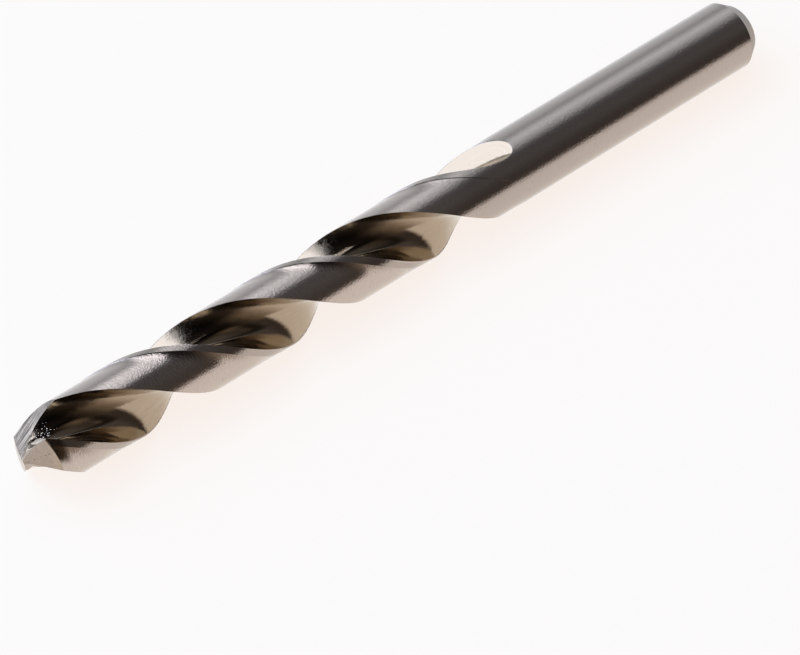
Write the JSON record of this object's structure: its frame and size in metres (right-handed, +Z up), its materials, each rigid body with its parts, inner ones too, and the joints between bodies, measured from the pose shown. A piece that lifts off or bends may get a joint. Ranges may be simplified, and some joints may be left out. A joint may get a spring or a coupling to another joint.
{
  "type": "twist drill bit",
  "caption": "Straight-shank twist drill bit with a right-hand helix, ground margins and a split point, for drilling holes in metal, wood or plastic",
  "frame": {"origin": "Centre of the shank's flat end face, on the drill's axis", "axes": "+X runs along the axis from the shank to the point, +Z is up when the drill lies on its side, and +Y completes a right-handed frame"},
  "size_m": [0.133, 0.0104, 0.0104],
  "materials": {
    "bright_tool_steel": "bright ground high-speed steel with fine grinding lines, no coating"
  },
  "bodies": {
    "root": {"twist_drill": "bright_tool_steel"}
  },
  "joints": []
}
